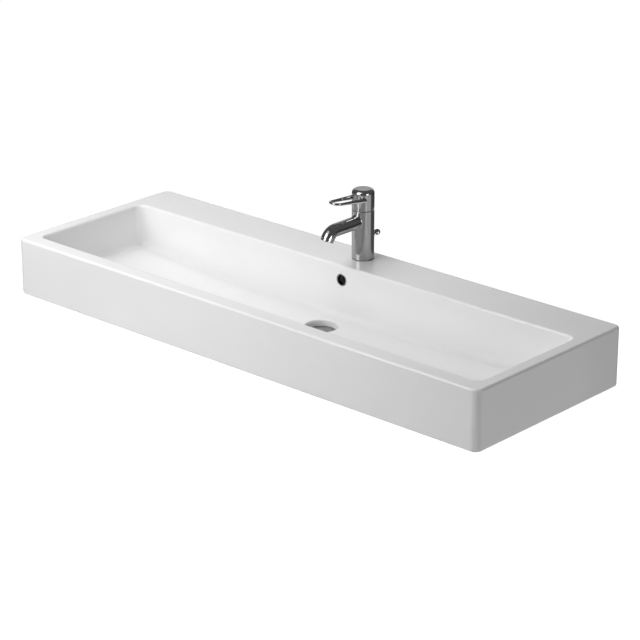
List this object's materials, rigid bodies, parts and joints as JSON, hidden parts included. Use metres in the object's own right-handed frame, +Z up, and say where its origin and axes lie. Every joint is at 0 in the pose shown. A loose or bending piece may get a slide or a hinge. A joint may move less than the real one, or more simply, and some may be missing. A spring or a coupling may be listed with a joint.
{
  "type": "vanity basin",
  "caption": "Wide rectangular wall-hung ceramic basin with a rear deck, a single-lever mixer with a loop handle, an overflow and a rod-operated pop-up waste.",
  "frame": {"origin": "on the wall plane, midway between the two wall-bolt holes", "axes": "+X to the right along the basin, +Y into the wall, +Z up; the front apron faces -Y"},
  "size_m": [1.2, 0.425, 0.3897],
  "materials": {
    "glazed_ceramic": "white glaze, gloss",
    "chrome": "polished chrome plate on brass",
    "brass": "turned, bare",
    "steel": "drawn stainless steel",
    "rubber": "moulded, matt",
    "plastic": "moulded acetal, matt",
    "alumina": "lapped ceramic",
    "button": "moulded, gloss"
  },
  "bodies": {
    "root": {"basin_body": "glazed_ceramic", "overflow_ring": "chrome", "waste_flange": "chrome", "waste_lower_body": "chrome", "tailpiece": "chrome", "ball_nut": "chrome", "mixer_body": "chrome", "aerator_housing": "chrome", "dome_cover": "chrome", "waste_back_nut": "brass", "cartridge_nut": "brass", "mounting_nut": "brass", "mounting_stud": "steel", "horseshoe_plate": "steel", "waste_top_gasket": "rubber", "waste_bottom_gasket": "rubber", "tailpiece_seal": "rubber", "mixer_base_seal": "rubber", "aerator_washer": "rubber", "horseshoe_gasket": "rubber", "cartridge_seals": "rubber", "waste_slip_washer": "plastic", "ball_seat_inner": "plastic", "ball_seat_outer": "plastic", "aerator_insert": "plastic", "cartridge_base": "plastic", "cartridge_housing": "plastic", "fixed_disc": "alumina"},
    "cartridge_turn": {"cartridge_rotor": "plastic", "stem_pin": "steel"},
    "handle": {"handle_cap": "chrome", "lever_loop": "chrome", "index_button": "button", "handle_set_screw": "steel", "cartridge_stem": "steel"},
    "mixing_disc": {"moving_disc": "alumina", "disc_carrier": "plastic"},
    "pull_rod": {"lift_rod": "chrome", "lift_knob": "chrome", "rod_clamp": "steel", "clamp_screw": "steel"},
    "ball_lever": {"ball_rod": "steel"},
    "plug": {"plug_cap": "chrome", "plug_seal": "rubber", "plug_stem": "brass", "plug_guide": "plastic"}
  },
  "joints": [
    {"name": "handle_turn", "type": "hinge", "parent": "root", "child": "cartridge_turn", "pos_m": [0, -0.044, 0.161], "axis": [0, 0, 1], "range_deg": [-50, 50]},
    {"name": "handle_lift", "type": "hinge", "parent": "cartridge_turn", "child": "handle", "pos_m": [0, -0.044, 0.161], "axis": [-1, 0, 0], "range_deg": [0, 15]},
    {"name": "disc_slide", "type": "slide", "parent": "cartridge_turn", "child": "mixing_disc", "axis": [0, -1, 0], "range_m": [0, 0.00379]},
    {"name": "pull_rod_lift", "type": "slide", "parent": "root", "child": "pull_rod", "axis": [0, 0, 1], "range_m": [-0.02, 0]},
    {"name": "ball_lever_swing", "type": "hinge", "parent": "root", "child": "ball_lever", "pos_m": [0, -0.1275, -0.131], "axis": [1, 0, 0], "range_deg": [-11.8, 0]},
    {"name": "plug_drop", "type": "slide", "parent": "root", "child": "plug", "axis": [0, 0, -1], "range_m": [-0.00816, 0]}
  ],
  "couplings": [
    {"joint": "disc_slide", "follows": "handle_lift", "m_per_rad": 0.014335},
    {"joint": "ball_lever_swing", "follows": "pull_rod_lift", "rad_per_m": 10.273},
    {"joint": "plug_drop", "follows": "pull_rod_lift", "ratio": 0.40722}
  ]
}
